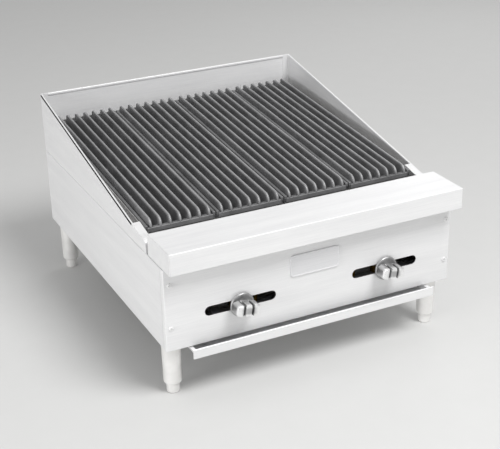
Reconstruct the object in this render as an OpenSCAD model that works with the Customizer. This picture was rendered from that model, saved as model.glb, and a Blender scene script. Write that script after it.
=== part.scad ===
// Countertop gas charbroiler: four cast grates over two burners, on adjustable legs.
// Lengths are in millimetres, +Z is up and the front faces -Y. Inside the modules, y = 0 is
// the face of the front panel and z = 0 the underside of the body; stand() moves each piece
// from there to the frame of the whole, whose origin is under the middle, on the counter.

/* [Body] */
// Width over the side panels
body_w = 609.6; // [580:0.1:640]
// Depth from the front panel to the back panel
body_d = 672; // [640:1:720]
// Height of the side panels
body_h = 166; // [160:1:180]
// Thickness of the folded sheet
sheet = 1.2; // [1:0.1:1.4]

/* [Landing ledge] */
// How far the ledge overhangs the front panel
ledge_reach = 34.7; // [25:0.1:45]
// Height of the ledge's front face
ledge_h = 42.3; // [36:0.1:46]
// Depth of the ledge behind the front panel
ledge_back = 65; // [60:1:66]

/* [Splash guard] */
// Height of the guard's back wall
guard_h = 129; // [110:1:150]
// Height of the side walls where their long slope ends in front
guard_front_h = 32.5; // [28:0.5:34]
// Width of the groove between body and guard
groove = 2; // [1.6:0.1:2.4]

/* [Grates] */
// Height of the ribs' top at their front end, above the body's underside
grate_front_z = 208; // [206:0.5:210]
// Rise of the grates towards the back, per unit of depth
grate_rise = 0.0739; // [0.065:0.0001:0.078]
// Distance between the middles of neighbouring grates
grate_pitch = 143.8; // [143.4:0.1:143.9]
// Distance between the ribs of one grate
rib_pitch = 19.6; // [19:0.1:20]
// Width of a rib
rib_w = 8; // [6:0.5:9]

/* [Controls] */
// Distance of each slot, valve and knob from the middle
valve_x = 154.5; // [150:0.5:160]
// Height of the valve axes above the body's underside
valve_z = 63; // [62:0.5:67]
// Length of the lighting slots
slot_w = 145; // [130:1:150]
// Height of the lighting slots
slot_h = 19.5; // [18:0.5:22]
// How far the knobs stand out of the front panel
knob_reach = 35; // [35:0.5:44]
// Radius of the knobs' skirt
knob_r = 24; // [22:0.5:25]

/* [Legs] */
// Height of the body above the counter
leg_h = 107; // [102:0.5:110]
// Radius of a leg at its top
leg_r = 18.5; // [18:0.1:19]
// Height of a foot below its leg
foot_h = 20; // [18:0.5:22]

/* [Drip tray] */
// Inner width of the tray
tray_w = 501.6; // [490:0.1:502]
// How far the tray's front wall stands out of the front panel
tray_reach = 18; // [14:0.5:24]
// Depth of the tray below the body
tray_h = 17; // [15:0.5:22]

/* [Gas supply] */
// Outer radius of the 3/4 inch iron pipe
pipe_r = 13.35; // [13.3:0.01:13.4]
// How far the inlet pipe stands out of the back
inlet_reach = 30; // [20:1:45]

/* [Hidden] */
$fn = 48;
half_w = body_w / 2;
inner_w = half_w - sheet;             // inner face of a side panel
y_mid = (body_d + inlet_reach - knob_reach) / 2;

return_d = 12;                        // folded edge of the front panel
seam = 1.5;                           // open seam behind that edge
side_flange = 48;                     // bottom flange that carries a leg
top_flange = 14;
front_flange = 30;
rear_flange = 20;
lip = 2;                              // joggled edges stop this far from the corners
side_y = return_d + seam;

guard_z = body_h + groove;            // lower edge of guard and ledge
cap_y = 142;                          // where the front caps of the guard end
guard_y = 74;
guard_corner = 15;
hem_t = 3.6;                          // folded rim along the guard's top
hem_h = 6;

slot_z = 63.5;                        // middle of the lighting slots
liner_x = half_w - 16.8;              // inner face of the firebox walls
liner_y = [76, 660];                  // inner faces of its front and rear walls
liner_low = 70;                       // where the walls turn inwards
drip_x = 247;                         // lower edge of the grease deflectors
drip_z = 8;
spacer_z = 150;                       // flanges that hold the firebox off the panels

grate_y = 120;                        // front end of the ribs
grate_len = 535;                      // length of the ribs along their slope
grate_t = 25;
grate_half = grate_pitch / 2 - 0.8;   // half the width of one grate
rib_count = 7;
nose_r = 15;
slope = atan(grate_rise);
rest_front = [122, 138];              // flat bars that the grates lie on
rest_rear = [632, 650];
rest_gap = 0.2;
rest_front_z = grate_front_z - 27;
rest_rear_z = rest_front_z + 37;

burner_x = [grate_pitch / 2, grate_pitch * 1.5];  // runners below the middles of the grates
burner_r = 19;
burner_wall = 3;
burner_y = [120, 600];                // crossover and rear end
burner_z = valve_z;
bell_y = 58;                          // mouth of the mixing tube
bell_len = 14;
throat_r = 14;
window_w = 14;
port_count = 15;
port_w = 1.6;
fit = 0.05;                           // radial play of a turning fit

radiant_half = 52;
radiant_z = burner_z + burner_r + 12;
radiant_rise = 42;
radiant_y = [128, 628];

manifold_y = 38;
manifold_z = 26;
supply_x = 284;
pipe_wall = 2.9;
elbow_y = 52;                         // where the supply pipe starts in its elbow
inlet_thread = 18;
nipple_r = 7;
fitting_r = 17;
stem_r = 4;
valve_r = 11;
valve_y = [8, 46];
pilot_x = valve_x - 48;
pilot_z = 60;
pilot_top = 93;
pilot_r = 3.2;
riser_y = 90;

leg_x = half_w - 23.8;
leg_y = [38.6, 634];
leg_wall = 3;
leg_end = leg_h - foot_h;             // length of a leg
stud_r = 8;
stud_len = 47;
plug_h = 25;
foot_r = 12.5;

screw_r = 2.4;
screw_head = 4.5;
front_screw_x = half_w - 11.3;
front_screw_z = [47, 134];
back_screw_z = [55, 150];

rail_z = -3.4;                        // underside of the tray's rims
steel = "silver";
iron = "dimgray";

// ---------- helpers ----------

// Moves a piece from the working frame to the frame of the whole.
module stand() { translate([0, -y_mid, leg_h]) children(); }

// A box given by its limits along each axis.
module block(x, y, z) {
    translate([x[0], y[0], z[0]]) cube([x[1] - x[0], y[1] - y[0], z[1] - z[0]]);
}

// A box that is centred on the middle plane.
module bar(half, y, z) { block([-half, half], y, z); }

// Its children on the right, or mirrored to the left.
module on_side(side) {
    if (side < 0) mirror([1, 0, 0]) children();
    else children();
}

// Its children on the right and again on the left.
module both() { for (side = [-1, 1]) on_side(side) children(); }

// A cylinder along Y from y[0] to y[1], with an end radius of its own if it tapers.
module rod_y(r, x, y, z, r_end = 0) {
    translate([x, y[0], z]) rotate([-90, 0, 0])
        cylinder(h = y[1] - y[0], r1 = r, r2 = r_end > 0 ? r_end : r);
}

// A cylinder along X from x[0] to x[1].
module rod_x(r, x, y, z) { translate([x[0], y, z]) rotate([0, 90, 0]) cylinder(h = x[1] - x[0], r = r); }

// A cylinder along Z from z[0] to z[1].
module rod_z(r, x, y, z) { translate([x, y, z[0]]) cylinder(h = z[1] - z[0], r = r); }

// An outline drawn in depth and height, extruded sideways from x[0] to x[1].
module side_shape(x) { translate([x[0], 0, 0]) rotate([90, 0, 90]) linear_extrude(x[1] - x[0]) children(); }

// An outline drawn in width and height, extruded in depth from y[0] to y[1].
module front_shape(y) { translate([0, y[1], 0]) rotate([90, 0, 0]) linear_extrude(y[1] - y[0]) children(); }

// ---------- body panels ----------

// Right side panel: wall, flanges and the joggled edge behind the front panel's fold.
module side_panel() {
    color(steel) stand() difference() {
        union() {
            block([inner_w, half_w], [side_y, body_d], [0, body_h]);
            block([inner_w - sheet, inner_w], [sheet, side_y + return_d], [lip, body_h - lip]);
            block([half_w - front_flange, inner_w], [sheet, 2 * sheet], [lip, body_h - lip]);
            block([half_w - side_flange, half_w], [side_y, body_d - sheet], [0, sheet]);
            block([half_w - top_flange, half_w], [side_y, body_d - sheet], [body_h - sheet, body_h]);
            block([half_w - rear_flange, half_w], [body_d - 2 * sheet, body_d - sheet], [0, body_h]);
        }
        for (z = front_screw_z) rod_y(screw_r, front_screw_x, [0, 4], z);
        for (z = back_screw_z) rod_y(screw_r, front_screw_x, [body_d - 4, body_d], z);
        for (y = leg_y) rod_z(5, leg_x, y, [-1, sheet + 1]);
        inlet_hole();
    }
}

// Clearance for the inlet pipe through the back.
module inlet_hole() { rod_y(pipe_r + 1.2, supply_x, [body_d - 5, body_d + 5], manifold_z); }

// A slot with round ends, cut through the front panel.
module lighting_slot() {
    end = (slot_w - slot_h) / 2;
    for (x = [-end, end]) rod_y(slot_h / 2, x, [-1, sheet + 1], 0);
    block([-end, end], [-1, sheet + 1], [-slot_h / 2, slot_h / 2]);
}

module front_panel() {
    color(steel) stand() difference() {
        union() {
            bar(half_w, [0, sheet], [0, body_h]);
            bar(half_w, [0, return_d], [0, sheet]);
            bar(half_w, [0, return_d], [body_h - sheet, body_h]);
            both() block([inner_w, half_w], [0, return_d], [0, body_h]);
        }
        both() translate([valve_x, 0, slot_z]) lighting_slot();
        both() for (z = front_screw_z) rod_y(screw_r, front_screw_x, [-1, 4], z);
    }
}

module back_panel() {
    color(steel) stand() difference() {
        bar(inner_w, [body_d - sheet, body_d], [0, body_h]);
        both() for (z = back_screw_z) rod_y(screw_r, front_screw_x, [body_d - 4, body_d + 1], z);
        inlet_hole();
    }
}

// Floor strips between the side flanges, each with a lip for the firebox wall.
module front_crossmember() {
    color(steel) stand() {
        bar(half_w - side_flange, [return_d, liner_y[0] - sheet], [0, sheet]);
        bar(half_w - side_flange, [liner_y[0] - 2 * sheet, liner_y[0] - sheet], [0, 20]);
    }
}

module rear_crossmember() {
    color(steel) stand() {
        bar(half_w - side_flange, [liner_y[1] + sheet, body_d - sheet], [0, sheet]);
        bar(half_w - side_flange, [liner_y[1] + sheet, liner_y[1] + 2 * sheet], [0, 20]);
    }
}

// Folded box across the front, open below behind the front panel.
module landing_ledge() {
    top = guard_z + ledge_h;
    color(steel) stand() {
        difference() {
            bar(half_w, [-ledge_reach, ledge_back], [guard_z, top]);
            bar(inner_w, [-ledge_reach + sheet, ledge_back - sheet], [guard_z + sheet, top - sheet]);
            bar(inner_w, [30, ledge_back - sheet], [guard_z - 1, top - sheet]);
        }
        bar(half_w - 5, [lip, 30], [body_h, guard_z]);
    }
}

module nameplate() {
    w = 52;
    h = 22;
    color(steel) stand() translate([0, 0, 113]) difference() {
        rounded_plate(w, h, [-2.8, 0]);
        rounded_plate(w - 2, h - 2, [-3, -2]);
    }
}

// A plate with round corners, given by its half width, half height and span in depth.
module rounded_plate(w, h, y) {
    r = 7;
    for (x = [r - w, w - r], z = [r - h, h - r]) rod_y(r, x, y, z);
    block([-w, w], y, [r - h, h - r]);
    block([r - w, w - r], y, [-h, h]);
}

// A pan head screw along +Y, with its head's underside at y = 0.
module pan_screw() {
    difference() {
        union() {
            rod_y(screw_head - 0.8, 0, [-2.6, -1.6], 0, screw_head);
            rod_y(screw_head, 0, [-1.6, 0], 0);
            rod_y(screw_r, 0, [0, 9], 0);
        }
        block([-2.4, 2.4], [-3, -1.4], [-0.45, 0.45]);
        block([-0.45, 0.45], [-3, -1.4], [-2.4, 2.4]);
    }
}

module panel_screws() {
    color(steel) stand() both() {
        for (z = front_screw_z) translate([front_screw_x, 0, z]) pan_screw();
        for (z = back_screw_z) translate([front_screw_x, body_d, z]) mirror([0, 1, 0]) pan_screw();
    }
}

// ---------- splash guard ----------

// Outline of a side wall: round lower corner in front, short slope, then the long slope.
module guard_outline() {
    top = guard_z + guard_h;
    corner_y = guard_y + guard_corner;
    corner_z = guard_z + 10;
    translate([corner_y, corner_z]) circle(guard_corner);
    translate([guard_y, guard_z]) square([guard_corner, corner_z - guard_z]);
    polygon([
        [corner_y, guard_z], [body_d, guard_z], [body_d, top], [cap_y, guard_z + guard_front_h],
        [cap_y - 37, corner_z + guard_corner], [corner_y, corner_z + guard_corner]
    ]);
}

// Right side wall of the guard: skin, rim, front cap, rear flange and the foot in the groove.
module guard_side() {
    top = guard_z + guard_h;
    front = guard_z + guard_front_h;
    color(steel) stand() {
        intersection() {
            side_shape([inner_w, half_w]) guard_outline();
            block([inner_w, half_w], [guard_y, body_d], [guard_z, top]);
        }
        side_shape([half_w - hem_t, half_w])
            polygon([[cap_y, front], [body_d - 2 * sheet, top], [body_d - 2 * sheet, top - hem_h], [cap_y, front - hem_h]]);
        side_shape([liner_x + 0.4, half_w]) intersection() {
            difference() {
                guard_outline();
                translate([sheet, -sheet]) guard_outline();
            }
            translate([guard_y, guard_z]) square([cap_y - guard_y, guard_h]);
        }
        block([half_w - 16, half_w], [body_d - 2 * sheet, body_d - sheet], [guard_z, top]);
        block([inner_w - sheet, inner_w], [guard_y + sheet, body_d - 2 * sheet], [body_h, guard_z + 3]);
        block([half_w - top_flange, inner_w], [guard_y + sheet, body_d - 2 * sheet], [body_h, body_h + sheet]);
    }
}

module guard_back() {
    top = guard_z + guard_h;
    color(steel) stand() {
        bar(inner_w, [body_d - sheet, body_d], [guard_z, top]);
        bar(half_w - 16, [body_d - hem_t, body_d], [top - hem_h, top]);
        bar(half_w - 16, [body_d - 2 * sheet, body_d - sheet], [body_h, guard_z + 3]);
        bar(half_w - 16, [liner_y[1] + sheet, body_d - sheet], [body_h, body_h + sheet]);
    }
}

// ---------- legs ----------

module leg_plates() {
    color(steel) stand() both() for (y = leg_y) difference() {
        block([half_w - side_flange, inner_w - sheet], [y - 24, y + 24], [sheet, 3.7]);
        rod_z(5, leg_x, y, [0, 5]);
    }
}

module leg_bolts() {
    color(steel) stand() both() for (y = leg_y) {
        rod_z(10, leg_x, y, [3.7, 7.7]);
        rod_z(5, leg_x, y, [-20, 3.7]);
    }
}

// A leg: slightly tapered tube with a rounded lower end, a cap with a bore for its bolt,
// and a plug with a bore for the foot's stud.
module leg(side, y) {
    round_r = 4;
    end_r = leg_r - 1;
    color(steel) stand() on_side(side) translate([leg_x, y, -leg_end]) difference() {
        union() {
            translate([0, 0, round_r]) cylinder(h = leg_end - round_r, r1 = end_r, r2 = leg_r);
            translate([0, 0, round_r]) rotate_extrude() translate([end_r - round_r, 0]) circle(round_r, $fn = 32);
            cylinder(h = round_r, r = end_r - round_r);
        }
        translate([0, 0, plug_h]) cylinder(h = leg_end - plug_h - 8, r = end_r - leg_wall);
        translate([0, 0, -1]) cylinder(h = plug_h + 2, r = stud_r + fit);
        translate([0, 0, leg_end - 9]) cylinder(h = 10, r = 5);
    }
}

// An adjustable foot: round pad with a soft lower edge, on a stud that screws into the leg.
module foot(side, y) {
    edge = 2.5;
    color(steel) stand() on_side(side) translate([leg_x, y, -leg_h]) {
        translate([0, 0, edge]) cylinder(h = foot_h - rest_gap - edge, r = foot_r);
        cylinder(h = edge, r = foot_r - edge);
        translate([0, 0, edge]) rotate_extrude() translate([foot_r - edge, 0]) circle(edge, $fn = 32);
        translate([0, 0, edge]) cylinder(h = foot_h + stud_len - edge, r = stud_r);
    }
}

// ---------- firebox ----------

// Right wall of the firebox: its top follows the grates, and a flange holds it off the panel.
module liner_side() {
    z_top = function(y) grate_front_z - 12 + grate_rise * (y - grate_y);
    color(steel) stand() {
        side_shape([liner_x, liner_x + sheet]) polygon([
            [liner_y[0], liner_low], [liner_y[1], liner_low], [liner_y[1], z_top(liner_y[1])],
            [cap_y, z_top(cap_y)], [cap_y, guard_z + 8], [liner_y[0], guard_z + 8]
        ]);
        block([liner_x, inner_w], liner_y, [spacer_z, spacer_z + sheet]);
    }
}

// Baffle between the burners and the valves, with holes for the mixing tubes and pilots.
module liner_front() {
    color(steel) stand() difference() {
        bar(liner_x + sheet, [liner_y[0] - sheet, liner_y[0]], [drip_z, body_h]);
        both() rod_y(burner_r + 3, valve_x, [liner_y[0] - 3, liner_y[0] + 1], valve_z);
        both() rod_y(pilot_r + 1, pilot_x, [liner_y[0] - 3, liner_y[0] + 1], pilot_z);
        both() block([drip_x, liner_x + 2], [liner_y[0] - 3, liner_y[0] + 1], [0, liner_low]);
    }
}

module liner_rear() {
    top = rest_rear_z + 16;
    color(steel) stand() {
        difference() {
            bar(liner_x + sheet, [liner_y[1], liner_y[1] + sheet], [drip_z, top]);
            both() block([drip_x, liner_x + 2], [liner_y[1] - 1, liner_y[1] + 3], [0, liner_low]);
        }
        bar(half_w - rear_flange, [liner_y[1] + sheet, body_d - sheet], [spacer_z, spacer_z + sheet]);
    }
}

// Sloping plates that lead grease from the side walls into the tray.
module grease_deflectors() {
    color(steel) stand() both() front_shape(liner_y)
        polygon([[liner_x, liner_low], [liner_x + sheet, liner_low], [drip_x + sheet, drip_z], [drip_x, drip_z]]);
}

module grate_rest_front() {
    color(steel) stand() {
        bar(liner_x, rest_front, [rest_front_z - 2, rest_front_z]);
        bar(liner_x, [rest_front[0], rest_front[0] + 2], [rest_front_z - 14, rest_front_z]);
    }
}

module grate_rest_rear() {
    color(steel) stand() {
        bar(liner_x, [rest_rear[0], liner_y[1]], [rest_rear_z - 2, rest_rear_z]);
        bar(liner_x, [liner_y[1] - 2, liner_y[1]], [rest_rear_z - 14, rest_rear_z]);
    }
}

// Channel between the ledge and the grates, with two drains over the tray.
module grease_trough() {
    y = [ledge_back + 2, rest_front[0]];
    z = body_h + 4;
    color(iron) stand() difference() {
        bar(liner_x - 1, y, [z, rest_front_z - 2]);
        bar(liner_x - 1 - 2, [y[0] + 2, y[1] - 2], [z + 2, rest_front_z]);
        both() block([95, 125], [y[1] - 18, y[1] - 8], [z - 1, z + 3]);
    }
}

// One grate: seven ribs with round noses, on cross bars, side bars and flat-bottomed lugs.
module grate(i) {
    side = grate_half;
    cross_t = 8;
    color(iron) stand() translate([(i - 2.5) * grate_pitch, 0, 0]) {
        translate([0, grate_y, grate_front_z]) rotate([slope, 0, 0]) {
            for (k = [0:rib_count - 1])
                translate([(k - (rib_count - 1) / 2) * rib_pitch, 0, 0]) side_shape([-rib_w / 2, rib_w / 2]) rib_outline();
            for (k = [0:4]) translate([0, k * (grate_len - cross_t) / 4, 0]) bar(side, [0, cross_t], [-grate_t, -nose_r]);
            both() block([side - 6, side], [0, grate_len], [-grate_t, -nose_r + 5]);
        }
        for (x = [-0.8, 0.6]) {
            block([x * side, x * side + 14], [rest_front[0] + 2, rest_front[1] - 2], [rest_front_z + rest_gap, rest_front_z + 6]);
            block([x * side, x * side + 14], [rest_rear[0] + 2, rest_rear[1] - 2], [rest_rear_z + rest_gap, rest_rear_z + 6]);
        }
    }
}

// Side view of a rib, with its top along the depth axis: quarter-round nose, round tail.
module rib_outline() {
    tail_r = 6;
    intersection() {
        translate([nose_r, -nose_r]) circle(nose_r);
        translate([0, -nose_r]) square(nose_r);
    }
    translate([0, -grate_t]) square([nose_r, grate_t - nose_r]);
    translate([nose_r, -grate_t]) square([grate_len - nose_r - tail_r, grate_t]);
    translate([grate_len - tail_r, -tail_r]) circle(tail_r);
    translate([grate_len - tail_r, -grate_t]) square([tail_r, grate_t - tail_r]);
}

// One radiant: an inverted V of cast iron with a rib along its crest.
module radiant(i) {
    t = 5;
    color(iron) stand() translate([(i - 2.5) * grate_pitch, 0, 0]) {
        front_shape(radiant_y) polygon([
            [-radiant_half, radiant_z], [-radiant_half + 2 * t, radiant_z], [0, radiant_z + radiant_rise - 1.5 * t],
            [radiant_half - 2 * t, radiant_z], [radiant_half, radiant_z], [0, radiant_z + radiant_rise]
        ]);
        block([-2, 2], radiant_y, [radiant_z + radiant_rise - t, radiant_z + radiant_rise + 3]);
    }
}

module radiant_rests() {
    color(steel) stand() for (y = [radiant_y[0] - 4, radiant_y[1] - 16])
        bar(liner_x, [y, y + 20], [radiant_z - 3, radiant_z]);
}

// ---------- burners ----------

// Solid shape of the right burner, made smaller by a wall thickness for its inside.
module burner_shape(wall) {
    r = burner_r - wall;
    for (x = burner_x) {
        rod_y(r, x, [burner_y[0], burner_y[1] - wall], burner_z);
        translate([x, burner_y[0], burner_z]) sphere(r);
    }
    rod_x(r, burner_x, burner_y[0], burner_z);
    rod_y(r, valve_x, [bell_y + wall * 0.7, bell_y + bell_len], valve_z);
    rod_y(r, valve_x, [bell_y + bell_len, bell_y + 2 * bell_len], valve_z, throat_r - wall);
    rod_y(throat_r - wall, valve_x, [bell_y + 2 * bell_len, burner_y[0]], valve_z);
}

// A two-runner burner with sawn ports, and a mixing tube that opens towards the valve.
module burner(side) {
    step = (burner_y[1] - burner_y[0] - 60) / (port_count - 1);
    color(iron) stand() on_side(side) difference() {
        burner_shape(0);
        burner_shape(burner_wall);
        rod_y(7, valve_x, [bell_y - 1, bell_y + burner_wall], valve_z);
        shutter_windows();
        for (x = burner_x, k = [0:port_count - 1]) {
            y = burner_y[0] + 35 + k * step;
            block([x - 12, x + 12], [y, y + port_w], [burner_z + burner_r - 6, burner_z + burner_r + 1]);
        }
    }
}

// Air windows in the mouth of a mixing tube, one on each side.
module shutter_windows() {
    block([valve_x - 30, valve_x + 30], [bell_y + 4, bell_y + 11], [valve_z - window_w / 2, valve_z + window_w / 2]);
}

// The sleeve that turns on the mixing tube and closes its windows.
module air_shutter(side) {
    color(steel) stand() on_side(side) difference() {
        union() {
            rod_y(burner_r + 1.6, valve_x, [bell_y + 2, bell_y + 13], valve_z);
            block([valve_x - 6, valve_x + 6], [bell_y + 2, bell_y + 3.5], [valve_z + burner_r, valve_z + burner_r + 9]);
        }
        rod_y(burner_r + fit, valve_x, [bell_y, bell_y + 15], valve_z);
        shutter_windows();
    }
}

module burner_rests() {
    z = burner_z - burner_r;
    color(steel) stand() {
        bar(drip_x - 6, [liner_y[0], burner_y[0] + 12], [z - 3, z]);
        bar(drip_x - 6, [burner_y[1] - 20, liner_y[1]], [z - 3, z]);
    }
}

// ---------- gas supply ----------

module manifold_pipe() {
    color(iron) stand() difference() {
        rod_x(pipe_r, [-valve_x - 40, supply_x - 12], manifold_y, manifold_z);
        rod_x(pipe_r - pipe_wall, [-valve_x - 41, supply_x], manifold_y, manifold_z);
        both() rod_z(nipple_r, valve_x, manifold_y, [manifold_z, manifold_z + pipe_r + 1]);
        both() rod_z(stem_r, pilot_x, manifold_y, [manifold_z, manifold_z + pipe_r + 1]);
    }
}

// End cap on the left and elbow to the supply pipe on the right.
module manifold_fittings() {
    color(iron) stand() {
        difference() {
            rod_x(fitting_r, [-valve_x - 46, -valve_x - 28], manifold_y, manifold_z);
            rod_x(pipe_r, [-valve_x - 40, -valve_x - 20], manifold_y, manifold_z);
        }
        difference() {
            union() {
                rod_x(fitting_r, [supply_x - 24, supply_x], manifold_y, manifold_z);
                rod_y(fitting_r, supply_x, [manifold_y, manifold_y + 24], manifold_z);
                translate([supply_x, manifold_y, manifold_z]) sphere(fitting_r);
            }
            rod_x(pipe_r, [supply_x - 25, supply_x - 12], manifold_y, manifold_z);
            rod_y(pipe_r, supply_x, [elbow_y, manifold_y + 25], manifold_z);
            rod_x(pipe_r - pipe_wall, [supply_x - 20, supply_x], manifold_y, manifold_z);
            rod_y(pipe_r - pipe_wall, supply_x, [manifold_y, manifold_y + 20], manifold_z);
            translate([supply_x, manifold_y, manifold_z]) sphere(pipe_r - pipe_wall);
        }
    }
}

// Pipe along the right side; its threaded end behind the back panel is the gas inlet.
module supply_pipe() {
    y = [elbow_y, body_d + inlet_reach];
    thread_y = y[1] - inlet_thread;
    color(iron) stand() difference() {
        union() {
            rod_y(pipe_r, supply_x, [y[0], thread_y], manifold_z);
            rod_y(pipe_r - 0.25, supply_x, [thread_y, y[1]], manifold_z);
        }
        rod_y(pipe_r - pipe_wall, supply_x, [y[0] - 1, y[1] + 1], manifold_z);
    }
}

module manifold_saddles() {
    color(steel) stand() both() difference() {
        block([70, 82], [manifold_y - 9, manifold_y + 9], [sheet, manifold_z - 7]);
        rod_x(pipe_r, [60, 90], manifold_y, manifold_z);
    }
}

module gas_valves() {
    color("goldenrod") stand() both() difference() {
        union() {
            rod_y(valve_r, valve_x, valve_y, valve_z);
            rod_z(nipple_r, valve_x, manifold_y, [manifold_z + pipe_r - pipe_wall, valve_z]);
        }
        rod_y(stem_r + fit, valve_x, [valve_y[0] - 1, valve_y[0] + 14], valve_z);
    }
}

// Brass hoods that aim the gas into the mixing tubes.
module orifices() {
    color("goldenrod") stand() both() difference() {
        union() {
            rod_y(8, valve_x, [valve_y[1], valve_y[1] + 7], valve_z, $fn = 6);
            rod_y(6, valve_x, [valve_y[1] + 7, bell_y + 1], valve_z);
        }
        rod_y(0.9, valve_x, [valve_y[1] + 5, bell_y + 2], valve_z);
    }
}

module pilot_valves() {
    color("goldenrod") stand() both() difference() {
        union() {
            rod_z(stem_r, pilot_x, manifold_y, [manifold_z + pipe_r - pipe_wall, pilot_z]);
            rod_y(6, pilot_x, [manifold_y - 8, manifold_y + 8], pilot_z);
        }
        block([pilot_x - 4, pilot_x + 4], [manifold_y - 9, manifold_y - 6.5], [pilot_z - 0.6, pilot_z + 0.6]);
    }
}

module pilot_tubes() {
    color(steel) stand() both() {
        rod_y(pilot_r, pilot_x, [manifold_y + 8, riser_y], pilot_z);
        rod_z(pilot_r, pilot_x, riser_y, [pilot_z, pilot_top]);
        rod_y(pilot_r, pilot_x, [riser_y, riser_y + 14], pilot_top);
        for (z = [pilot_z, pilot_top]) translate([pilot_x, riser_y, z]) sphere(pilot_r);
    }
}

module pilot_burners() {
    color(steel) stand() both() difference() {
        rod_y(5, pilot_x, [riser_y + 14, riser_y + 26], pilot_top);
        rod_y(3.4, pilot_x, [riser_y + 18, riser_y + 27], pilot_top);
        for (y = [20, 23]) block([pilot_x - 6, pilot_x + 6], [riser_y + y, riser_y + y + 1], [pilot_top, pilot_top + 6]);
    }
}

// A die-cast knob: a round skirt with a low dome, and a grip bar across it with grooves for the fingers.
module knob(side) {
    back = -3;
    neck = -8;
    bar_h = 11.5;
    groove_x = 8.5;
    color("gray") stand() translate([side * valve_x, 0, valve_z]) difference() {
        union() {
            rod_y(knob_r, 0, [neck, back], 0);
            rod_y(knob_r - 8, 0, [neck - 3, neck], 0, knob_r);
            rotate([0, 8, 0]) difference() {
                intersection() {
                    block([-knob_r, knob_r], [-knob_reach, neck], [-bar_h, bar_h]);
                    union() {
                        rod_y(knob_r - 0.5, 0, [2 - knob_reach, neck], 0);
                        rod_y(knob_r - 2.5, 0, [-knob_reach, 2 - knob_reach], 0, knob_r - 0.5);
                    }
                }
                for (x = [-groove_x, groove_x], z = [-1, 1])
                    rod_y(3.5, x, [-knob_reach - 1, neck - 3], z * (bar_h + 0.5));
            }
        }
        rod_y(stem_r, 0, [-25, back + 1], 0);
    }
}

module valve_stem(side) {
    color("goldenrod") stand() rod_y(stem_r, side * valve_x, [-25, valve_y[0] + 12], valve_z);
}

// ---------- drip tray ----------

module drip_tray() {
    half = tray_w / 2;
    y = [-tray_reach, 645];
    front_half = half + 9.2;
    color(steel) stand() {
        difference() {
            bar(half + sheet, y, [-tray_h, rail_z + sheet]);
            bar(half, [y[0] + sheet, y[1] - sheet], [sheet - tray_h, 0]);
        }
        both() block([half, half + 7.2], y, [rail_z, rail_z + sheet]);
        bar(front_half, [y[0], y[0] + sheet], [-tray_h, 2]);
        bar(front_half, [y[0], y[0] + 3 * sheet], [2 - 3 * sheet, 2]);
    }
}

module tray_rails() {
    low = rail_z - rest_gap - sheet;
    x = tray_w / 2 + 7.8;
    color(steel) stand() both() {
        block([x - 5.4, x + sheet], [side_y + 1, liner_y[1]], [low, low + sheet]);
        block([x, x + sheet], [side_y + 1, liner_y[1]], [low, 0]);
    }
}

// ---------- nodes ----------

mirror([1, 0, 0]) side_panel();  // side_panel_left
side_panel();  // side_panel_right
front_panel();
back_panel();
front_crossmember();
rear_crossmember();
landing_ledge();
mirror([1, 0, 0]) guard_side();  // guard_left
guard_side();  // guard_right
guard_back();
nameplate();
panel_screws();
leg_plates();
leg_bolts();
leg(-1, leg_y[0]);  // leg_front_left
leg(1, leg_y[0]);  // leg_front_right
leg(-1, leg_y[1]);  // leg_rear_left
leg(1, leg_y[1]);  // leg_rear_right
foot(-1, leg_y[0]);  // foot_front_left
foot(1, leg_y[0]);  // foot_front_right
foot(-1, leg_y[1]);  // foot_rear_left
foot(1, leg_y[1]);  // foot_rear_right
mirror([1, 0, 0]) liner_side();  // liner_left
liner_side();  // liner_right
liner_front();
liner_rear();
grease_deflectors();
grate_rest_front();
grate_rest_rear();
grease_trough();
grate(1);  // grate_1
grate(2);  // grate_2
grate(3);  // grate_3
grate(4);  // grate_4
radiant(1);  // radiant_1
radiant(2);  // radiant_2
radiant(3);  // radiant_3
radiant(4);  // radiant_4
radiant_rests();
burner(-1);  // burner_left
burner(1);  // burner_right
burner_rests();
air_shutter(-1);  // air_shutter_left
air_shutter(1);  // air_shutter_right
manifold_pipe();
manifold_fittings();
manifold_saddles();
supply_pipe();
gas_valves();
orifices();
pilot_valves();
pilot_tubes();
pilot_burners();
knob(-1);  // knob_left
knob(1);  // knob_right
valve_stem(-1);  // valve_stem_left
valve_stem(1);  // valve_stem_right
drip_tray();
tray_rails();
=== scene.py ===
import math

import bpy
import numpy as np
from bpy.props import FloatProperty, FloatVectorProperty, IntProperty, PointerProperty
from mathutils import Matrix, Vector


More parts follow.
